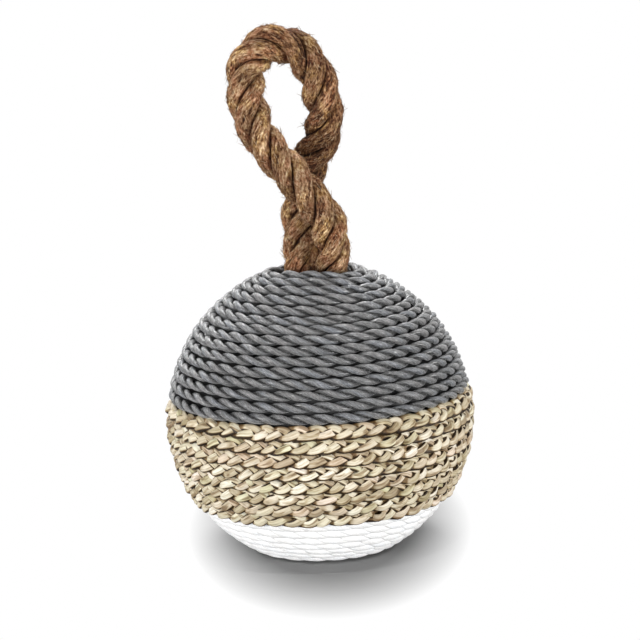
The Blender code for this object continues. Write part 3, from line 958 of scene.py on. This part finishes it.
def rope_line():
    """Even points on the whole rope's middle line, with two directions across it, and lengths."""
    crown = np.array([0.0, 0.0, CROWN_Z])
    route = [tuple(crown + LOOP_HEIGHT * np.array(place)) for place in HANDLE_ROUTE]
    heights = (CENTRE_Z + ROPE_END, CENTRE_Z + CLAMP_TOP, CROWN_Z, CROWN_Z + FOOT_STRAIGHT)
    legs = []
    for side in (1.0, -1.0):
        foot = FOOT_AXIS * (side * FOOT_SPACING / 2.0)
        legs.append([(foot[0], foot[1], height) for height in heights])
    even, marks = even_points(smooth_line(legs[0] + route + legs[1][::-1]), ROPE_STEP)
    reach = ROPE_SMOOTHING
    window = np.hanning(2 * reach + 1)
    window /= window.sum()
    padded = np.pad(even, ((reach, reach), (0, 0)), "edge")
    blurred = [np.convolve(padded[:, axis], window, "valid") for axis in range(3)]
    even[reach:-reach] = np.stack(blurred, axis=1)[reach:-reach]
    forward = unit(np.gradient(even, axis=0))
    normal = np.empty_like(even)
    across = np.array([0.0, -1.0, 0.0])
    for i, direction in enumerate(forward):
        across = square_to(across, direction)
        normal[i] = across
    return even, normal, np.cross(forward, normal), marks


def laid_rope(name, line, keep, material, seed):
    """The kept stretch of the rope: three strands laid to the right, with yarns as ridges.

    It gives the object and each strand's rings.
    """
    middle, normal, flank, marks = (part[keep] for part in line)
    u, v, deep = round_section(ROPE_STRANDS, **ROPE_SECTION)
    reach = np.maximum(np.hypot(u, v), 0.05)
    girth = lengths_along(np.stack([u, v], axis=1)) * ROPE_DIAMETER / 2.0
    shown = np.clip((1.0 - deep) * 2.0 - 0.9, 0.0, 1.0)
    foot = ROPE_FOOT_SHOWN / ROPE_DIAMETER
    grown = smoothstep((middle[:, 2] - CROWN_Z - FOOT_STRAIGHT) / FOOT_TAPER)
    radius = ROPE_FULLNESS * (foot + (1.0 - foot) * grown) * ROPE_DIAMETER / 2.0
    twist = 2.0 * math.pi * (marks + ROPE_LAY_SHIFT) / ROPE_LAY
    twist = twist + uneven(marks, ROPE_DRIFT, 0.5, seed)
    shade = np.interp(marks, *zip(*ROPE_PAINTED_SHADE))[:, None]
    along = marks[:, None]
    lean = girth + YARN_SLANT * along
    crossed = lean - CROSSED_YARN_SLANT * along
    tubes = []
    for ply in range(ROPE_STRANDS):
        row = 37.0 * ply

        def relief(cell, across, extra):
            return smooth_noise(along / cell[0], across / cell[1] + row, seed + extra)

        lump = relief(LUMP_CELL, girth, 3)
        yarn = np.maximum(relief(YARN_CELL, lean, 4), relief(CROSSED_YARN_CELL, crossed, 6))
        fibre = relief(FIBRE_CELL, girth, 5)
        raised = LUMP_HEIGHT * lump + YARN_HEIGHT * yarn + FIBRE_HEIGHT * fibre
        raised = shown * (raised - RELIEF_SUNK) / reach
        swell = 1.0 + uneven(marks, ROPE_SWELL, ply + 0.5, seed)
        scale = (radius * swell)[:, None] + raised
        phase = twist + 2.0 * math.pi * ply / ROPE_STRANDS
        out, side = turned(u * scale, v * scale, phase)
        # Painted shade: darker in the low spots of the yarn relief and in the grooves between the
        # strands.
        groove_shade = np.clip(-0.75 * yarn - 0.45 * fibre + 0.02, 0.0, 1.0) * shown
        dark = (GROOVE_SHADE_STRENGTH + uneven(marks, GROOVE_VARIES, ply + 0.5, seed))[:, None]
        groove_shade = np.maximum(deep - GROOVE_START, 0.0) * dark + groove_shade
        values = {
            "along": along + 0.4 * ply,
            "across": lean + ply * 0.0217,
            "deep": np.clip(groove_shade, 0.0, 1.0),
            # The tone is lighter where the relief is raised, partly a painted light
            "tone": 0.42 + 0.28 * yarn + 0.24 * fibre + 0.12 * lump + shade,
        }
        tubes.append((swept(middle, normal, flank, out, side), values))
    return join_tubes(name, tubes, material), [rings for rings, _ in tubes]


def foot_tuft(name, material, seed):
    """Matted fibres pressed between the two legs just above the crown."""
    height = np.linspace(TUFT_BOTTOM, TUFT_TOP, TUFT_RINGS)
    angle = 2.0 * math.pi * np.arange(TUFT_SIDES) / TUFT_SIDES
    thin = np.sqrt(np.clip((TUFT_TOP + 0.0002 - height) / 0.010, 0.0, 1.0))[:, None]
    lumps = 1.0 + 0.16 * smooth_noise(height[:, None] / 0.0014, angle * 3.0, seed)
    lumps = lumps * thin
    across = np.array([-FOOT_AXIS[1], FOOT_AXIS[0], 0.0])
    rings = (TUFT_RADII[0] * lumps * np.cos(angle))[..., None] * FOOT_AXIS
    rings = rings + (TUFT_RADII[1] * lumps * np.sin(angle))[..., None] * across
    rings[..., 2] += CROWN_Z + height[:, None]
    tone = 0.42 + 0.3 * smooth_noise(height[:, None] / 0.002, angle * 3.0, seed + 1)
    values = {
        "along": height[:, None],
        "across": angle * 0.004,
        # Painted shade: the tuft between the legs is darkened all over by a fixed depth
        "deep": np.full(angle.shape, 0.50),
        "tone": tone,
    }
    return join_tubes(name, [(rings, values)], material)


def fibre_ends(name, surface, material, count, seed):
    """Short loose fibres on the rope, a few of which stand off it."""
    rng = np.random.default_rng(seed)
    points, quads, along, tone = [], [], [], []
    steps, sides = 4, 3
    for fibre in range(count):
        rings = surface[rng.integers(len(surface))]
        i = int(rng.integers(4, len(rings) - 5))
        j = int(rng.integers(5, rings.shape[1] - 6))
        root = rings[i, j]
        forward = unit(rings[i + 3, j] - rings[i - 3, j])
        flank = unit(rings[i, j + 1] - rings[i, j - 1])
        normal = unit(np.cross(forward, flank))
        if np.dot(normal, root - rings[i].mean(axis=0)) < 0.0:
            normal = -normal
        length = rng.uniform(*LOOSE_LENGTHS)
        sign = 1.0 if rng.uniform() < 0.5 else -1.0
        stands = rng.uniform() < STANDING_SHARE
        kind = STANDING if stands else LYING
        rise = rng.uniform(*kind["rise"])
        length = STANDING_LENGTH * length if stands else length
        slant = rng.normal(0.0, FIBRE_SLANT_SPREAD) - FIBRE_SLANT * sign
        start = unit(forward * sign + normal * rise + flank * slant)
        curl = normal * rng.normal(*kind["curl"])
        curl = curl + flank * rng.normal(0.0, FIBRE_SIDE_CURL)
        width = rng.uniform(*kind["width"])
        shade = rng.uniform(0.0, 1.0)
        side_a = unit(np.cross(start, normal))
        side_b = np.cross(start, side_a)
        for step in range(steps):
            t = step / (steps - 1)
            centre = root - start * FIBRE_ROOT_DEPTH
            centre = centre + (start * t + curl * t * t * 0.5) * length
            thin = width * (1.0 - FIBRE_THINNING * t)
            for corner in range(sides):
                turn = 2.0 * math.pi * corner / sides
                points.append(centre + (side_a * math.cos(turn) + side_b * math.sin(turn)) * thin)
                along.append(t * length + fibre * 0.01)
                tone.append(shade)
        for step in range(steps - 1):
            first = (fibre * steps + step) * sides
            for corner in range(sides):
                a = first + corner
                b = first + (corner + 1) % sides
                quads.append((a, b, b + sides, a + sides))
    values = {"along": np.array(along), "tone": np.array(tone)}
    return mesh_object(name, np.array(points), np.array(quads), [], values, material)


# Making


def place_piece(obj, slot, *nodes):
    """The piece rides on the one body and may replace nodes; the slot is not used."""
    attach(obj, "root")
    if nodes:
        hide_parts(*nodes)


def make_handle():
    """The rope above the crown, its loose fibres and its two hidden tails."""
    cloth = rope_material()
    line = rope_line()
    shows = line[0][:, 2] > CROWN_Z - ROPE_HIDDEN_DEPTH
    first_shown = int(np.argmax(shows))
    last_shown = len(shows) - int(np.argmax(shows[::-1]))
    loop, surface = laid_rope(
        "rope_handle", line, slice(first_shown, last_shown), cloth, ROPE_SEED
    )
    place_piece(loop, "brown_rope", "handle_rope")
    place_piece(foot_tuft("rope_foot_tuft", cloth, TUFT_SEED), "brown_rope")
    fuzz = fibre_ends("rope_fibre_ends", surface, fuzz_material(), LOOSE_FIBRES, FUZZ_SEED)
    place_piece(fuzz, "brown_rope")
    tails = {"right": slice(0, first_shown + 1), "left": slice(last_shown - 1, len(shows))}
    for label, part in tails.items():
        tail, _ = laid_rope(f"rope_tail_{label}", line, part, cloth, ROPE_SEED)
        place_piece(tail, "brown_rope")


def make_windings():
    """The grey cord, the natural plait and the white cord, one after the other."""
    grey_line = winding_line(
        0, GREY_TURNS, GREY_LINE, GREY_STEP, GREY_WOBBLE, GREY_LINE_SEED
    )
    paint = cord_material("grey_paint", **GREY_PAINT)
    ply = lens_section(GREY_PLY_POINTS, GREY_PLY_WIDTH)
    grey = twisted_cord("grey_cord", grey_line, ply, paint, GREY_SEED, **GREY_CORD)
    place_piece(grey, "grey_cord", "grey_cord_winding")

    braid_line = winding_line(
        GREY_TURNS, BRAID_TURNS, BRAID_LINE, BRAID_STEP, BRAID_WOBBLE, BRAID_LINE_SEED
    )
    leaf = leaf_material()
    for strand, label in enumerate(PLAIT_LABELS):
        strip = plait_strand(f"natural_plait_{label}", braid_line, strand, leaf, PLAIT_SEED)
        replaced = ("natural_braid_winding",) if strand == 0 else ()
        place_piece(strip, "natural_braid", *replaced)

    white_line = winding_line(
        GREY_TURNS + BRAID_TURNS,
        WHITE_TURNS,
        WHITE_LINE,
        WHITE_STEP,
        WHITE_WOBBLE,
        WHITE_LINE_SEED,
    )
    paint = cord_material("white_paint", **WHITE_PAINT)
    ply = round_section(CORD_PLIES, **WHITE_SECTION)
    white = twisted_cord("white_cord", white_line, ply, paint, WHITE_SEED, **WHITE_CORD)
    place_piece(white, "white_cord", "white_cord_winding")


def dress_inside():
    """Materials of the pieces inside the ball, whose solids stay as they are."""
    shell = speckled_material(
        "shell_black", (0.012, 0.012, 0.013), (0.02, 0.02, 0.02), 300.0, 0.6
    )
    sand = speckled_material(
        "sand_grains", (0.42, 0.31, 0.19), (0.68, 0.55, 0.38), 2500.0, 0.95
    )
    felt = speckled_material(
        "felt_fibres", (0.07, 0.07, 0.075), (0.13, 0.13, 0.135), 1800.0, 0.95
    )
    steel = speckled_material(
        "brushed_clamp", (0.55, 0.55, 0.56), (0.66, 0.66, 0.67), 600.0, 0.38, 1.0
    )
    twine = speckled_material("twine", (0.50, 0.43, 0.31), (0.68, 0.61, 0.48), 900.0, 0.85)
    looks = {
        "core_upper_shell": ("core_plastic", shell),
        "core_lower_shell": ("core_plastic", shell),
        "filler_plug": ("core_plastic", shell),
        "sand_ballast": ("sand", sand),
        "base_pad": ("felt", felt),
        "rope_clamp": ("clamp_steel", steel),
        "rope_end_seizing": ("seizing_twine", twine),
    }
    for node, (slot, look) in looks.items():
        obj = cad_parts[node]
        obj.data.materials.clear()
        obj.data.materials.append(look)


bpy.context.scene.view_settings.view_transform = "Standard"
make_camera()
make_world()
make_floor()
for lamp in LAMPS:
    make_lamp(*lamp)
make_handle()
make_windings()
dress_inside()
